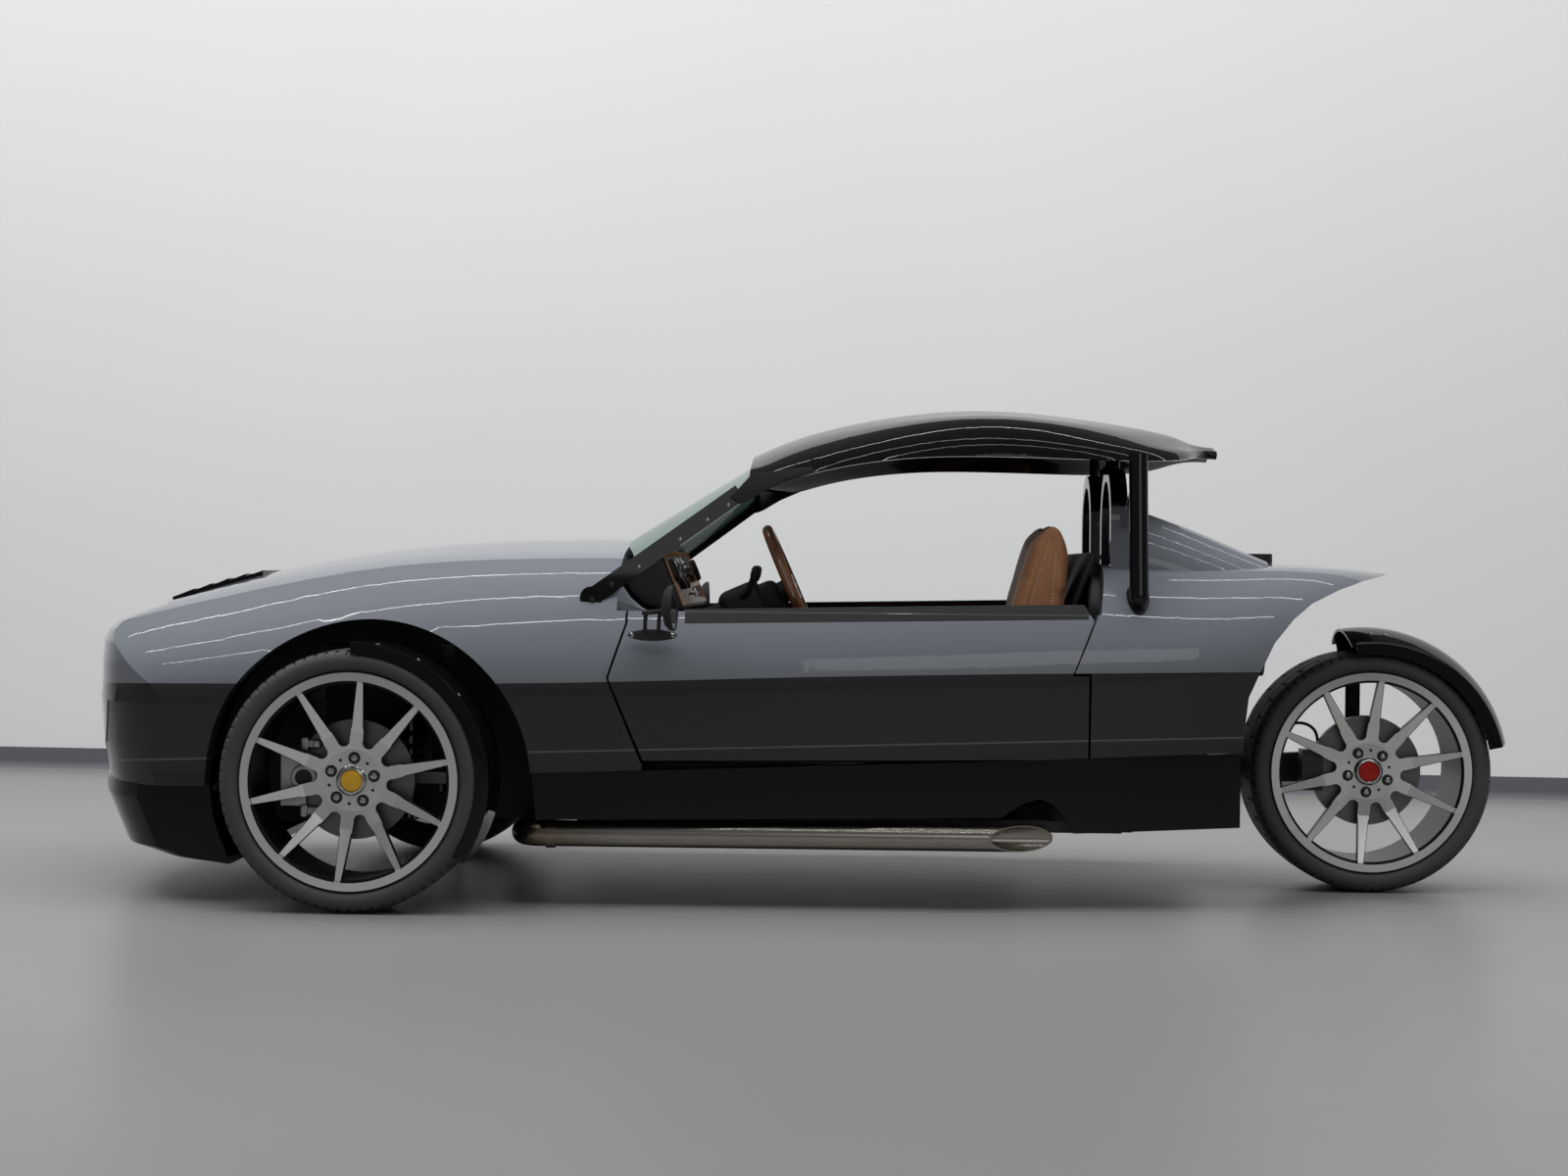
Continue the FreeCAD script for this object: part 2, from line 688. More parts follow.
# Side pipes: an elbow in front, a straight run and a slanted mouth
pipe_y, pipe_z = size("doorFootY") - size("pipeInset"), size("pipeZ")
pipe_front, pipe_rear = fore(size("pipeFrontX")), fore(size("pipeRearX"))
pipe_bend, pipe_radius = size("pipeBend"), size("pipeRadius")
pipe_bore = pipe_radius - size("pipeWall")


def pipe_run(radius, rear_end, inner_end):
    """The pipe's path as a solid: straight run, quarter bend inwards and a straight run below the car."""
    straight = rod((pipe_front, pipe_y, pipe_z), (rear_end, pipe_y, pipe_z), radius)
    bend_centre = Vector(pipe_front, pipe_y - pipe_bend, pipe_z)
    bend = Part.makeTorus(pipe_bend, radius, bend_centre, Vector(0, 0, 1), -180, 180, 90)
    inner_x = pipe_front + pipe_bend
    inner = rod((inner_x, pipe_y - pipe_bend, pipe_z), (inner_x, inner_end, pipe_z), radius)
    return joined(straight, bend, inner)


pipe_solid = pipe_run(pipe_radius, pipe_rear, size("railY") + size("railWidth"))
pipe_hollow = pipe_run(pipe_bore, pipe_rear - 5, size("railY") + size("railWidth") - 5)
slant = plan_prism([(pipe_rear - 1, pipe_y - pipe_radius), (pipe_rear + size("pipeSlant"), pipe_y + pipe_radius),
                    (pipe_rear + size("pipeSlant"), pipe_y + 80), (pipe_rear - 80, pipe_y + 80),
                    (pipe_rear - 80, pipe_y - pipe_radius)], 100, 300)
clamp = rod((pipe_front - 34, pipe_y, pipe_z), (pipe_front - 10, pipe_y, pipe_z), pipe_radius + 4)
hangers = [block(fore(x) - 16, fore(x) + 16, tub_half, pipe_y - 10, size("floorZ") + 2,
                 size("floorZ") + 20) for x in (-700, -1500)]
side_pipe = joined(pipe_solid, clamp, *hangers).cut([pipe_hollow, slant])
shape("side_exhausts", both_sides(side_pipe))

# Screen frame and glass
def frame_bar(foot, top, width, thick):
    """A flat bar from foot to top, its width in the XZ plane."""
    foot, top = Vector(*foot), Vector(*top)
    along = (top - foot).normalize()
    across = along.cross(Vector(0, 1, 0)).normalize() * (width / 2)
    depth = along.cross(across).normalize() * thick
    face = Part.Face(Part.makePolygon([foot - across, foot + across, foot + across + depth,
                                       foot - across + depth, foot - across]))
    return face.extrude(top - foot)


pillar_lift = skin_width(size("pillarFootX"), size("pillarFootZ")) + size("pillarThick") - 6
pillar_foot = (fore(size("pillarFootX")), pillar_lift, size("pillarFootZ"))
pillar_top = (fore(size("pillarTopX")), size("pillarTopY"), size("pillarTopZ"))
pillar = frame_bar(pillar_foot, pillar_top, size("pillarWidth"), size("pillarThick"))
foot_plate = rod(pillar_foot, (pillar_foot[0], pillar_foot[1] - size("pillarThick"), pillar_foot[2]),
                 size("pillarWidth") / 2 + 6)


def glass_wire(x_mid, z_mid, x_side, z_side, half, inset, thick):
    """A section across the screen: an arc through its middle and sides, given a thickness to the rear."""
    left, mid, right = Vector(x_side, half, z_side), Vector(x_mid, 0, z_mid), Vector(x_side, -half, z_side)
    rearwards = Vector(x_side - x_mid, 0, z_side - z_mid).normalize()
    near, far = rearwards * inset, rearwards * (inset + thick)
    outer = Part.Arc(left + near, mid + near, right + near).toShape()
    inner = Part.Arc(right + far, mid + far, left + far).toShape()
    right_edge = Part.makeLine(right + near, right + far)
    left_edge = Part.makeLine(left + far, left + near)
    return Part.Wire([outer, right_edge, inner, left_edge])


def screen_band(low, high, half, inset, thick):
    """The part of the screen's surface between two shares of its height."""
    wires = []
    for share in (low, high):
        place_at = [fore(size(f"glass{part}FootX")) * (1 - share) + fore(size(f"glass{part}TopX")) * share
                    for part in ("", "Side")]
        height = [size(f"glass{part}FootZ") * (1 - share) + size(f"glass{part}TopZ") * share
                  for part in ("", "Side")]
        wires.append(glass_wire(place_at[0], height[0], place_at[1], height[1], half, inset, thick))
    return Part.makeLoft(wires, True, True)


glass = screen_band(0, 1, size("glassHalfWidth"), 0, size("glassThick")).cut(outer_skin)
header = screen_band(0.94, 0.99, size("pillarTopY"), size("glassThick") + size("seatGap"), 14)
frame = joined(header, pillar, mirrored(pillar), foot_plate, mirrored(foot_plate)).cut([outer_skin, glass])
shape("windscreen_frame", max(frame.Solids, key=lambda solid: solid.Volume))


# Roof: x, crown height, crease y and z, edge y and z of each section
ROOF = [
    (-958, 1158, 440, 1116, 540, 1080),
    (-1138, 1228, 470, 1160, 556, 1100),
    (-1393, 1277, 505, 1202, 560, 1138),
    (-1560, 1288, 520, 1208, 560, 1142),
    (-1780, 1274, 510, 1197, 556, 1138),
    (-1960, 1248, 450, 1182, 520, 1136),
    (-2090, 1220, 280, 1178, 360, 1150),
    (-2196, 1194, 90, 1182, 130, 1168),
]


def roof_wire(x, crown, crease_y, crease_z, edge_y, edge_z):
    wall = size("roofWall")
    outer = [(edge_y, edge_z), ((edge_y + crease_y) / 2 + 8, (edge_z + crease_z) / 2 + 4), (crease_y, crease_z),
             (0.55 * crease_y, crown - 0.3 * (crown - crease_z))]
    points = [Vector(x, -y, z) for y, z in outer] + [Vector(x, 0, crown)]
    points += [Vector(x, y, z) for y, z in reversed(outer)]
    inner = [Vector(x, 0.96 * p.y, p.z - wall) for p in points]
    inner[0].z, inner[-1].z = points[0].z, points[-1].z
    over, under = Part.BSplineCurve(), Part.BSplineCurve()
    over.interpolate(points)
    under.interpolate(list(reversed(inner)))
    return Part.Wire([over.toShape(), Part.makeLine(points[-1], inner[-1]), under.toShape(),
                      Part.makeLine(inner[0], points[0])])


roof = Part.makeLoft([roof_wire(fore(row[0]), *row[1:]) for row in ROOF], True, False)
shape("roof_panel", roof.cut(frame))
shape("windscreen_glass", max(glass.cut(roof).Solids, key=lambda solid: solid.Volume))

# Roll hoops: a leg at each side under the roof's edge, and an arch in front of each hump
hoop_foot = Vector(fore(size("hoopX")), size("hoopFootY"), size("hoopFootZ"))
hoop_top = Vector(fore(size("hoopX")), size("hoopTopY"), size("hoopTopZ"))
leg = rod(tuple(hoop_foot), tuple(hoop_top), size("hoopRadius"))
leg_end = Part.makeSphere(size("hoopRadius"), hoop_foot)


def arch_outline(half, foot, top, x, depth):
    """An arch in the YZ plane: two straight sides and a half circle over them."""
    y = size("archRingY")
    spring = top - half
    low_in, low_out = Vector(x, y - half, foot), Vector(x, y + half, foot)
    high_in, high_out = Vector(x, y - half, spring), Vector(x, y + half, spring)
    arc = Part.Arc(high_out, Vector(x, y, top), high_in).toShape()
    wire = Part.Wire([Part.makeLine(low_in, low_out), Part.makeLine(low_out, high_out), arc,
                      Part.makeLine(high_in, low_in)])
    return Part.Face(wire).extrude(Vector(depth, 0, 0))


ring_x, ring_wall = fore(size("archRingX")) - size("archRingDepth") / 2, size("archRingWall")
ring = arch_outline(size("archRingHalf"), size("archRingFoot"), size("archRingTop"), ring_x, size("archRingDepth"))
ring = ring.cut(arch_outline(size("archRingHalf") - ring_wall, size("archRingFoot") - 10, size("archRingTop") - ring_wall,
                             ring_x - 5, size("archRingDepth") + 10))
roof_post = rod((ring_x + 22, size("archRingY"), size("archRingTop") - 10), (ring_x + 22, size("archRingY"), 1240), 14)
brace_low = Vector(ring_x + 8, size("archRingY") + size("archRingHalf") - 8, size("archRingTop") - size("archRingHalf"))
brace = rod(tuple(brace_low), (hoop_top.x, hoop_top.y + 2, hoop_top.z - 60), 12)
hoop = joined(leg, leg_end, ring, roof_post, brace).cut([rear_body, roof])
shape("roll_hoops", both_sides(max(hoop.Solids, key=lambda solid: solid.Volume)))

# Fascia and seats
panel_face = size("dashPanelX") - size("seatGap")
dash_side = [
    (panel_face, 770),
    (panel_face, 796),
    (-652, 850),
    (-700, 884),
    (-757, 902),
    (-832, 746),
    (-688, 749),
]
dash = side_prism([(fore(x), z) for x, z in dash_side], -size("dashHalfWidth"), size("dashHalfWidth"))
column_axis = Vector(math.cos(math.radians(size("steerTilt"))), 0, -math.sin(math.radians(size("steerTilt"))))
wheel_centre = Vector(fore(size("steerWheelX")), size("seatY"), size("steerWheelZ"))
column_start = wheel_centre + column_axis * 60
column_end = wheel_centre + column_axis * ((fore(size("dashPanelX")) - wheel_centre.x) / column_axis.x - 1)
column_length = (column_end - column_start).Length
column = Part.makeCylinder(size("columnRadius"), column_length, column_start, column_axis)
column_space = Part.makeCylinder(size("columnRadius") + size("seatGap"), 700, column_start, column_axis)
screen_space = screen_band(-0.2, 1, size("glassHalfWidth") + 40, -80, 80 + size("glassThick") + 24)
dash = dash.cut([column_space, screen_space, hollow_skin])
shape("dashboard", max(dash.Solids, key=lambda solid: solid.Volume))
shape("steering_column", column.cut(block(fore(size("dashPanelX")), fore(0), 0, 600, 200, 900)))

cushion_z = size("floorZ") + size("floorThick") + size("seatGap")
seat_base = [
    (-1180, cushion_z),
    (-1140, 330),
    (-1160, 372),
    (-1560, 330),
    (-1650, 420),
    (-1690, 800),
    (-1738, 984),
    (-1790, 984),
    (-1800, 900),
    (-1776, 640),
    (-1730, 300),
    (-1700, cushion_z),
]


def seat(y):
    half = size("seatWidth") / 2
    return side_prism([(fore(x), z) for x, z in seat_base], y - half, y + half)


shape("seats", Part.makeCompound([seat(size("seatY")), seat(-size("seatY"))]))

# Steering wheel
grip_radius = size("steerWheelRadius") - size("steerGrip")
grip = Part.makeTorus(grip_radius, size("steerGrip"), wheel_centre, column_axis)
boss = Part.makeCylinder(28, 60 - size("seatGap"), wheel_centre, column_axis)
steer_spokes = []
for angle in (0, 180, -90):
    spoke = block(-13, 13, 0, grip_radius, 0, 4)
    spoke.Placement = Placement(wheel_centre, Rotation(Vector(0, 0, 1), column_axis).multiply(
        Rotation(Vector(0, 0, 1), angle)))
    steer_spokes.append(spoke)
shape("steering_wheel", joined(grip, boss, *steer_spokes))

# Engine and final drive as one block
engine = block(fore(-120), fore(360), -300, 300, size("engineFootZ"), 640)
shape("engine_block", engine)

# Front suspension on the car
axle_x, axle_z = fore(0), size("axleHeight")
king_y, rise = size("kingpinY"), size("balljointRise")


def wishbone(low, spread):
    """A flat wishbone: an eye at the ball joint, a neck, and two legs to the chassis."""
    thick, inner_y = size("armEyeThick"), size("railY") + size("railWidth") + size("seatGap")
    eye = rod((axle_x, king_y, low), (axle_x, king_y, low + thick), size("armEyeRadius"))
    plan = [(axle_x - 14, king_y), (axle_x + 14, king_y), (axle_x + 14, king_y - 100),
            (axle_x + spread + 14, inner_y), (axle_x + spread - 14, inner_y), (axle_x, king_y - 170),
            (axle_x - spread + 14, inner_y), (axle_x - spread - 14, inner_y), (axle_x - 14, king_y - 100)]
    return joined(plan_prism(plan, low, low + thick), eye)


upper_low = axle_z + rise + size("seatGap")
lower_low = axle_z - rise - size("seatGap") - size("armEyeThick")
rail_side = size("railY") + size("railWidth")
rail_top = size("floorZ") + size("railHeight")
damper_x = axle_x + size("damperForeX")
tower_top = arch_z + size("archRadius") - size("towerDrop")
damper_top_z = tower_top - 28
tower = block(axle_x - 150, axle_x + 150, size("railY"), rail_side, rail_top, tower_top)
shelf = block(damper_x - 24, damper_x + 24, rail_side - 1, rail_side + 46, damper_top_z, tower_top)
tower = joined(tower.cut(block(axle_x - 130, axle_x + 130, 0, 600, rail_top, 400)), shelf)
lower_arm = wishbone(lower_low, 118)
shape("control_arms", both_sides(Part.makeCompound([wishbone(upper_low, 50), lower_arm])))
shape("damper_towers", both_sides(tower))
damper_foot = (damper_x, rail_side + 86, lower_low + size("armEyeThick") - 10)
damper_head = (damper_x, rail_side + 24, damper_top_z + 10)
damper = rod(damper_foot, damper_head, size("damperRadius")).cut([lower_arm, tower])
shape("coilovers", both_sides(max(damper.Solids, key=lambda solid: solid.Volume)))

shaft_ball = Part.makeSphere(size("ballRadius"), Vector(axle_x, king_y, axle_z))
shaft = rod((axle_x, 300, axle_z), (axle_x, king_y, axle_z), 13)
shape("half_shafts", both_sides(joined(shaft_ball, shaft)))

liner_y = size("archInnerY") - size("linerWall")
liner = rod((arch_x, liner_y, arch_z), (arch_x, liner_y + size("linerWall"), arch_z), size("archRadius") + 30)
liner = liner.common(cavity).cut(block(axle_x - 190, axle_x + 190, 300, 500, 0, tower_top + 10))
shape("wheel_arch_liners", both_sides(liner))

# Front uprights, calipers and wheel guards
wheel_y = size("wheelPlaneY")
upright_half = size("uprightWidth") / 2
front_disc_low = king_y + size("ballRadius") + size("cupWall") + size("discGap")
front_disc_mid = front_disc_low + size("discWidth") / 2
calliper_x = axle_x + size("discRadius") - 30
strap_x, strap_y = axle_x - 202, king_y - 94
rack_x = axle_x + size("rackForeX")
rack_z = rail_top + size("movingGap") + size("rackRadius")


def upright():
    """The upright: a post between the ball joints, the drive joint's cup, a stub for the hub and lugs."""
    post = block(axle_x - 22, axle_x + 22, king_y - upright_half, king_y + upright_half,
                 axle_z - rise, axle_z + rise)
    cup = Part.makeSphere(size("ballRadius") + size("cupWall"), Vector(axle_x, king_y, axle_z))
    stub_start = king_y + size("ballRadius") + 4
    stub = rod((axle_x, stub_start, axle_z), (axle_x, wheel_y + 74, axle_z), size("stubRadius"))
    steer_arm = block(axle_x + 10, axle_x + 128, king_y - upright_half, king_y - upright_half + 14,
                      rack_z + 14, rack_z + 30)
    guard_arm = block(strap_x - 12, axle_x - 20, king_y - 14, king_y, axle_z - 14, axle_z + 14)
    guard_return = block(strap_x - 12, strap_x + 12, strap_y, king_y, axle_z - 14, axle_z + 14)
    calliper_lug = block(axle_x + 20, calliper_x + 10, king_y - 4, front_disc_mid - size("calliperHalf") + 4,
                         axle_z - 30, axle_z + 30)
    ball_space = Part.makeSphere(size("ballRadius") + size("seatGap"), Vector(axle_x, king_y, axle_z))
    mouth = Part.makeCone(14, 110, 110, Vector(axle_x, king_y, axle_z), Vector(0, -1, 0))
    return joined(post, cup, stub, steer_arm, guard_arm, guard_return, calliper_lug).cut([ball_space, mouth])


def wheel_guard():
    """The wheel guard: a curved sheet round the top and rear of the tyre, carried by a strap inside it."""
    outer_r, half = size("guardRadius") + size("guardWall"), size("guardHalfWidth")
    ring = rod((axle_x, strap_y, axle_z), (axle_x, wheel_y + half, axle_z), outer_r)
    ring = ring.cut(rod((axle_x, 0, axle_z), (axle_x, 1200, axle_z), size("guardRadius")))
    rear_of_top = side_prism([(axle_x, axle_z), (axle_x, axle_z + 500), (axle_x - 500, axle_z + 500),
                              (axle_x - 500, axle_z - 350)], 400, 1000)
    behind_axle = block(axle_x - 500, axle_x, wheel_y - half, 1000, 0, 900)
    sheet_part = ring.common([rear_of_top]).common([behind_axle])
    tab = ring.common(block(strap_x - 12, strap_x + 12, strap_y, wheel_y, axle_z, 900))
    strap = block(strap_x - 12, strap_x + 12, strap_y, strap_y + 6, axle_z + 14, 900)
    strap = strap.common(rod((axle_x, 0, axle_z), (axle_x, 1200, axle_z), outer_r))
    return joined(sheet_part, tab, strap)


def calliper(x, y_mid, z, height, length):
    """A brake calliper: a block that straddles the disc."""
    half = size("calliperHalf")
    slot_half = size("discWidth") / 2 + size("movingGap")
    body = block(x, x + length, y_mid - half, y_mid + half, z - height / 2, z + height / 2)
    return body.cut(rod((x - size("discRadius") + 30, y_mid - slot_half, z),
                        (x - size("discRadius") + 30, y_mid + slot_half, z), size("discRadius") + size("movingGap")))


upright_solid = upright()
front_calliper = calliper(calliper_x, front_disc_mid, axle_z, 130, 62).cut(upright_solid)
guard_solid = wheel_guard()
for side, turn in (("left", lambda made: made), ("right", mirrored)):
    shape("upright_" + side, turn(upright_solid))
    shape("caliper_" + side, turn(front_calliper))
    shape("wheel_guard_" + side, turn(guard_solid))

# Steering rack with its tie rods
rack_end = king_y - 15
rack_radius = size("rackRadius")
rack_bar = rod((rack_x, -rack_end, rack_z), (rack_x, rack_end, rack_z), rack_radius)
rack_eyes = [rod((rack_x, y, rack_z - rack_radius), (rack_x, y, rack_z + rack_radius), 14)
             for y in (-rack_end, rack_end)]
shape("steering_rack", joined(rack_bar, *rack_eyes))
guide_top = rack_z + rack_radius + 12
guide = block(rack_x - 20, rack_x + 20, size("railY") + 10, rail_side - 10, rail_top, guide_top)
rack_slot = rod((rack_x, -rack_end, rack_z), (rack_x, rack_end, rack_z), rack_radius + size("seatGap"))
shape("rack_guides", both_sides(guide.cut(rack_slot)))

# Rear swing arm, hub carrier, damper, mudguard and caliper
rear_x = size("frontAxleX") - size("wheelbase")
pivot_x, pivot_z = fore(size("armPivotX")), size("armPivotZ")
pivot_tube = rod((pivot_x, -size("armPivotHalf"), pivot_z), (pivot_x, size("armPivotHalf"), pivot_z), 30)
arm_y = -size("swingArmY")
arm_leg = side_prism([(pivot_x + 20, pivot_z - 34), (pivot_x + 20, pivot_z + 34), (rear_x - 40, axle_z + 44),
                      (rear_x - 40, axle_z - 44)], arm_y, arm_y + 34)
carrier = rod((rear_x, arm_y + 10, axle_z), (rear_x, size("carrierEndY"), axle_z), size("carrierRadius"))
stub = rod((rear_x, 0, axle_z), (rear_x, 96, axle_z), size("stubRadius"))
shock_foot = block(fore(size("shockFootX")) - 20, pivot_x, -24, 24, pivot_z, pivot_z + 26)
rear_disc_low = size("carrierEndY") + size("discGap")
rear_disc_mid = rear_disc_low + size("discWidth") / 2
rear_calliper_x = rear_x + size("discRadius") - 30
rear_lug = block(rear_x + 30, rear_calliper_x + 10, size("carrierEndY") - 20, size("carrierEndY"),
                 axle_z - 30, axle_z + 30)
swing_arm = joined(pivot_tube, arm_leg, carrier, stub, shock_foot, rear_lug)
shape("swing_arm", swing_arm)
shape("rear_caliper", calliper(rear_calliper_x, rear_disc_mid, axle_z, 110, 56).cut(swing_arm))
shock_top = Vector(fore(size("shockTopX")), 0, size("shockTopZ"))
shock_base = Vector(fore(size("shockFootX")), 0, pivot_z + 26)
shock_seat = block(shock_top.x, shock_top.x + 80, -24, 24, shock_top.z - 30, shock_top.z + 30)
shape("rear_shock", rod(shock_base, shock_top, 22).cut([swing_arm, shock_seat]))


def mudguard_wire(edge, crown):
    half = size("mudguardHalf")
    centre = Vector(rear_x, 0, axle_z)
    crown_point = centre + Vector(0, 0, crown)
    outer = Part.Arc(centre + Vector(0, -half, edge), crown_point, centre + Vector(0, half, edge))
    wall = size("mudguardWall")
    inner = Part.Arc(centre + Vector(0, half, edge - wall), centre + Vector(0, 0, crown - wall),
                     centre + Vector(0, -half, edge - wall))
    return Part.Wire([outer.toShape(), Part.makeLine(centre + Vector(0, half, edge), centre + Vector(0, half, edge - wall)),
                      inner.toShape(), Part.makeLine(centre + Vector(0, -half, edge - wall),
                                                     centre + Vector(0, -half, edge))])


mudguard_face = Part.Face(mudguard_wire(size("mudguardEdge"), size("mudguardRadius")))
mudguard = mudguard_face.revolve(Vector(rear_x, 0, axle_z), Vector(0, -1, 0), 88)
mudguard.rotate(Vector(rear_x, 0, axle_z), Vector(0, -1, 0), -10)
guard_stay = block(rear_x - 20, rear_x + 20, -size("mudguardHalf") - 6, -size("mudguardHalf") + 2,
                   axle_z, axle_z + size("mudguardEdge") - 1)
shape("rear_mudguard", joined(mudguard, guard_stay.cut(swing_arm)))


# Wheels
def origin_plane(body, role):
    return next(feature for feature in body.Origin.OriginFeatures if feature.Role == role)


def sketch(body, name, role, points, offset=None):
    """A closed outline on one of the body's origin planes; each point's x and y are expressions."""
    made = body.newObject("Sketcher::SketchObject", name)
    made.AttachmentSupport = [(origin_plane(body, role), "")]
    made.MapMode = "FlatFace"
    if offset:
        made.setExpression("AttachmentOffset.Base.z", cell(offset))
    count = len(points)
    for index in range(count):
        angle, next_angle = 2 * math.pi * index / count, 2 * math.pi * (index + 1) / count
        made.addGeometry(Part.LineSegment(Vector(math.cos(angle), math.sin(angle), 0),
                                          Vector(math.cos(next_angle), math.sin(next_angle), 0)))
    for index in range(count):
        made.addConstraint(Sketcher.Constraint("Coincident", index, 2, (index + 1) % count, 1))
    for index, (x, y) in enumerate(points):
        for kind, text in (("DistanceX", x), ("DistanceY", y)):
            number = made.addConstraint(Sketcher.Constraint(kind, -1, 1, index, 1, 1.0))
            made.setExpression(f"Constraints[{number}]", cell(text))
    return made


def revolved(body, name, points):
    """Revolve a profile of (y, radius) points about the body's Y axis."""
    profile = sketch(body, name + "Profile", "YZ_Plane", points)
    feature = body.newObject("PartDesign::Revolution", name)
    feature.Profile = profile
    feature.ReferenceAxis = (profile, ["H_Axis"])
    feature.Angle = 360
    return feature


def place(body, x, y, z, turn=0, roll=0):
    """Put a wheel part at its hub, turned about the upright axis and rolled about its own axle."""
    upright_turn, axle_roll = Rotation(Vector(0, 0, 1), turn), Rotation(Vector(0, 1, 0), roll)
    body.Placement = Placement(Vector(0, 0, 0), upright_turn.multiply(axle_roll))
    for axis, text in zip("xyz", (x, y, z)):
        body.setExpression("Placement.Base." + axis, cell(text))


def window_sketch(body, offset):
    """One window of the wheel's face: a wide arc near the rim, two slanted sides and a round foot."""
    made = body.newObject("Sketcher::SketchObject", "WindowOutline")
    made.AttachmentSupport = [(origin_plane(body, "XZ_Plane"), "")]
    made.MapMode = "FlatFace"
    made.setExpression("AttachmentOffset.Base.z", cell(offset))
    top, half = size("windowTopRadius"), size("windowTopHalf")
    foot, foot_half = size("windowFootRadius"), size("windowFootHalf")
    lean = math.acos(half / top)
    high = top * math.sin(lean)
    top_circle = Part.Circle(Vector(0, 0, 0), Vector(0, 0, 1), top)
    foot_circle = Part.Circle(Vector(0, foot, 0), Vector(0, 0, 1), foot_half)
    made.addGeometry(Part.ArcOfCircle(top_circle, lean, math.pi - lean))
    made.addGeometry(Part.LineSegment(Vector(-half, high, 0), Vector(-foot_half, foot, 0)))
    made.addGeometry(Part.ArcOfCircle(foot_circle, math.pi, 2 * math.pi))
    made.addGeometry(Part.LineSegment(Vector(foot_half, foot, 0), Vector(half, high, 0)))
    for first, first_end, second, second_end in ((0, 2, 1, 1), (1, 2, 2, 1), (2, 2, 3, 1), (3, 2, 0, 1)):
        made.addConstraint(Sketcher.Constraint("Coincident", first, first_end, second, second_end))
    made.addConstraint(Sketcher.Constraint("Coincident", 0, 3, -1, 1))
    bound = [
        (("Radius", 0, top), "windowTopRadius"),
        (("DistanceX", -1, 1, 0, 1, half), "windowTopHalf"),
        (("DistanceX", 0, 2, -1, 1, half), "windowTopHalf"),
        (("DistanceY", -1, 1, 2, 3, foot), "windowFootRadius"),
        (("Radius", 2, foot_half), "windowFootHalf"),
    ]
    for arguments, text in bound:
        number = made.addConstraint(Sketcher.Constraint(*arguments))
        made.setExpression(f"Constraints[{number}]", cell(text))
    made.addConstraint(Sketcher.Constraint("PointOnObject", 2, 3, -2))
    made.addConstraint(Sketcher.Constraint("Horizontal", 2, 1, 2, 3))
    made.addConstraint(Sketcher.Constraint("Horizontal", 2, 3, 2, 2))
    return made


def make_rim(label, width, x, y, turn):
    """A rim: a barrel with two flanges, and a dished face with windows between its spokes."""
    half = f"{width} / 2 - 6"
    body = doc.addObject("PartDesign::Body", "Body" + label)
    barrel = [
        (f"-({half})", "rimRadius"),
        (f"-({half})", "rimSeatRadius - barrelWall"),
        (half, "rimSeatRadius - barrelWall"),
        (half, "rimRadius"),
        (f"{half} - flangeWidth", "rimRadius"),
        (f"{half} - flangeWidth", "rimSeatRadius"),
        (f"flangeWidth - ({half})", "rimSeatRadius"),
        (f"flangeWidth - ({half})", "rimRadius"),
    ]
    revolved(body, "Barrel", barrel)
    lip, hub = f"{half} - faceLip", f"{half} - faceLip - faceDish"
    revolved(body, "Face", [
        (f"{hub} - faceThick", "hubBore"),
        (f"{hub} - faceThick", "hubRadius"),
        (f"{lip} - faceThick", "rimSeatRadius - barrelWall + 1"),
        (lip, "rimSeatRadius - barrelWall + 1"),
        (f"{hub} + 3", "hubRadius + 24"),
        (hub, "hubRadius - 20"),
        (hub, "hubBore"),
    ])
    pocket = body.newObject("PartDesign::Pocket", "Window")
    pocket.Profile = window_sketch(body, "0")
    pocket.Type = "ThroughAll"
    pattern = body.newObject("PartDesign::PolarPattern", "Windows")
    pattern.Originals = [pocket]
    pattern.Axis = (origin_plane(body, "Y_Axis"), [""])
    pattern.Angle = 360
    pattern.setExpression("Occurrences", cell("spokeCount"))
    body.Tip = pattern
    place(body, x, y, "axleHeight", turn, size("wheelTurn"))
    return keep(body, label)


def make_tyre(label, width, x, y):
    half = f"{width} / 2"
    bead = f"{width} / 2 - 6 - flangeWidth - seatGap"
    body = doc.addObject("PartDesign::Body", "Body" + label)
    revolved(body, "Carcass", [
        (f"-({bead})", "rimSeatRadius + seatGap"),
        (bead, "rimSeatRadius + seatGap"),
        (bead, "rimRadius + 3"),
        (half, "(tyreRadius + rimRadius) / 2 + 4"),
        (f"{half} - 18", "tyreRadius - 4"),
        (f"{half} - 56", "tyreRadius"),
        (f"56 - ({half})", "tyreRadius"),
        (f"18 - ({half})", "tyreRadius - 4"),
        (f"-({half})", "(tyreRadius + rimRadius) / 2 + 4"),
        (f"-({bead})", "rimRadius + 3"),
    ])
    place(body, x, y, "axleHeight")
    return keep(body, label)


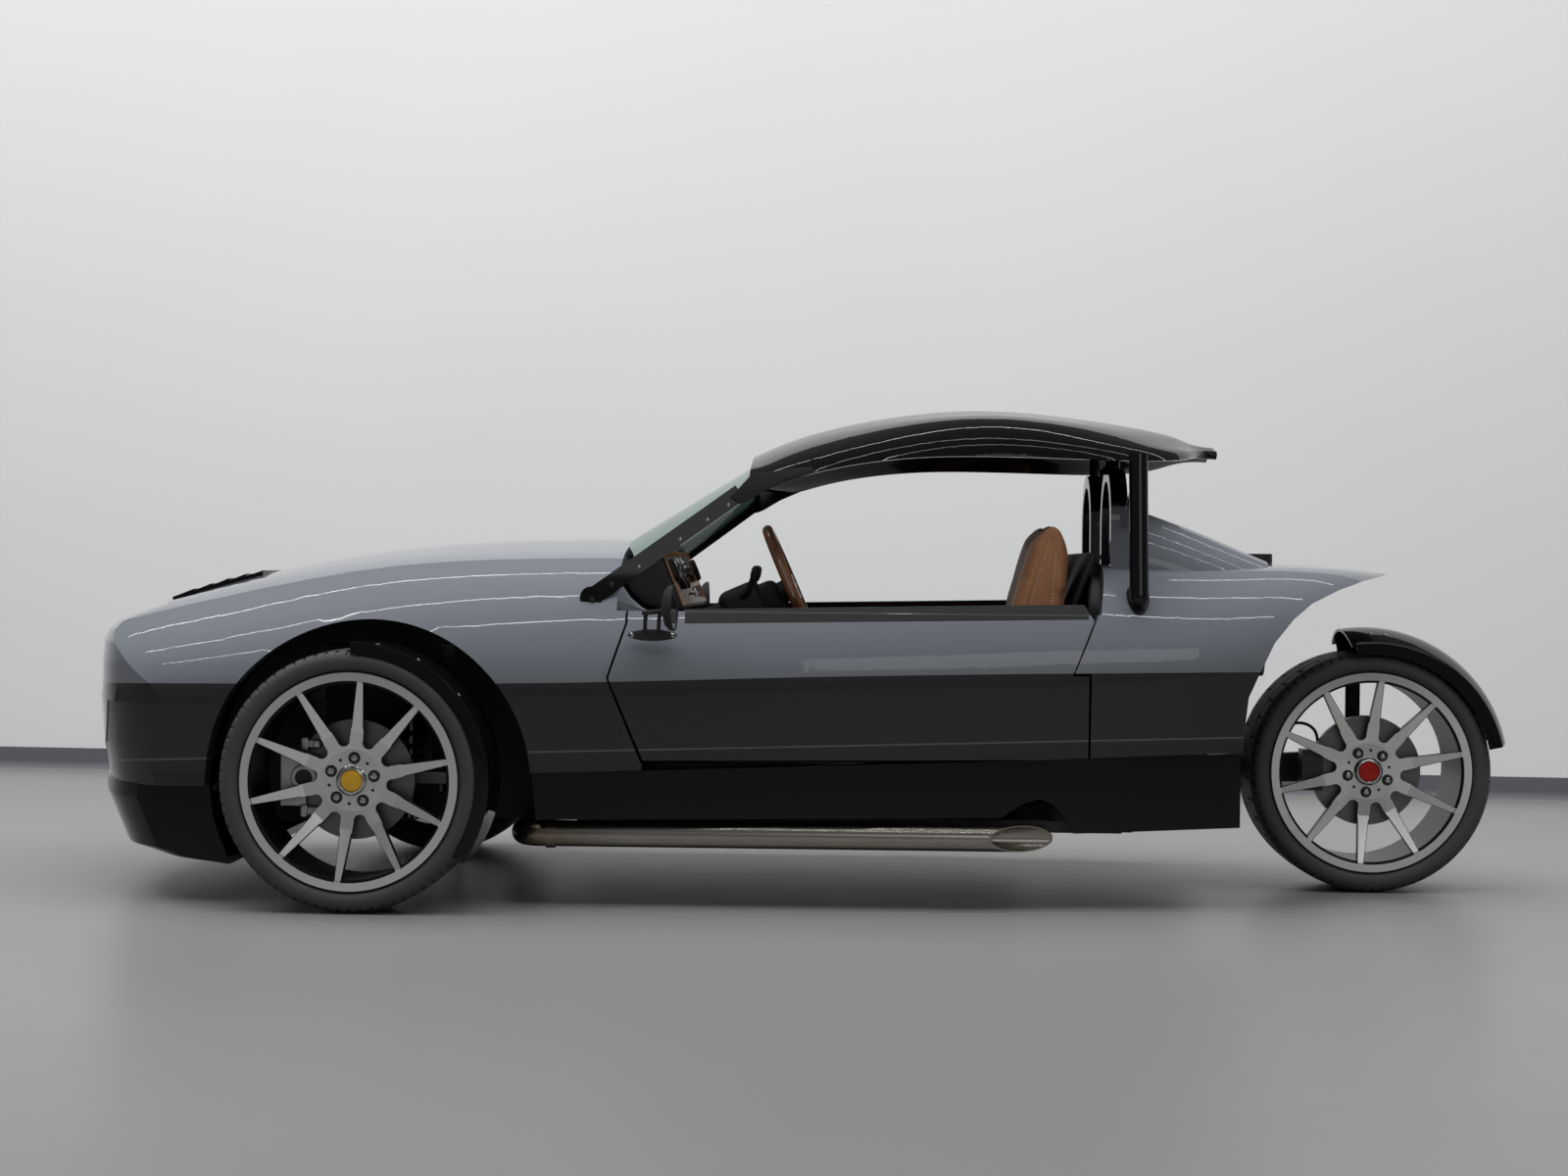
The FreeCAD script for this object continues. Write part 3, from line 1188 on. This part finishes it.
def make_disc(label, x, y, low, hub_reach):
    body = doc.addObject("PartDesign::Body", "Body" + label)
    revolved(body, "Rotor", [
        (low, "stubRadius + seatGap"),
        (low, "discRadius"),
        (f"{low} + discWidth", "discRadius"),
        (f"{low} + discWidth", "62"),
        (hub_reach, "62"),
        (hub_reach, "stubRadius + seatGap"),
    ])
    place(body, x, y, "axleHeight")
    return keep(body, label)


make_rim("rim_front_left", "frontTyreWidth", "frontAxleX", "wheelPlaneY", 0)
make_rim("rim_front_right", "frontTyreWidth", "frontAxleX", "-wheelPlaneY", 180)
make_rim("rim_rear", "rearTyreWidth", "frontAxleX - wheelbase", "0", 0)
make_tyre("tyre_front_left", "frontTyreWidth", "frontAxleX", "wheelPlaneY")
make_tyre("tyre_front_right", "frontTyreWidth", "frontAxleX", "-wheelPlaneY")
make_tyre("tyre_rear", "rearTyreWidth", "frontAxleX - wheelbase", "0")
front_low = "kingpinY + ballRadius + cupWall + discGap - wheelPlaneY"
front_reach = "frontTyreWidth / 2 - 6 - faceLip - faceDish - faceThick"
make_disc("disc_front_left", "frontAxleX", "wheelPlaneY", front_low, front_reach)
right_disc = make_disc("disc_front_right", "frontAxleX", "-wheelPlaneY", front_low, front_reach)
right_disc.Placement = Placement(right_disc.Placement.Base, Rotation(Vector(0, 0, 1), 180))
rear_reach = "rearTyreWidth / 2 - 6 - faceLip - faceDish - faceThick"
make_disc("disc_rear", "frontAxleX - wheelbase", "0", "carrierEndY + discGap", rear_reach)

doc.recompute()
for obj in doc.Objects:
    if {"Invalid", "Error"} & set(obj.State):
        raise RuntimeError(f"{obj.Name} failed: {obj.State}")

os.makedirs("parts", exist_ok=True)
faults = []
for obj in SUBPARTS:
    made = obj.Shape
    if made.isNull() or not made.isValid() or not made.Solids:
        faults.append(obj.Label)
        continue
    made.exportStep(f"parts/{obj.Label}.step")
    box = made.optimalBoundingBox(False)
    print(f"{obj.Label:22s} {len(made.Solids)} solids, {made.Volume / 1e6:8.2f} litres, "
          f"x {box.XMin:7.0f} {box.XMax:6.0f}  y {box.YMin:5.0f} {box.YMax:5.0f}  "
          f"z {box.ZMin:5.0f} {box.ZMax:5.0f}")
if faults:
    raise RuntimeError(f"no valid solid: {faults}")
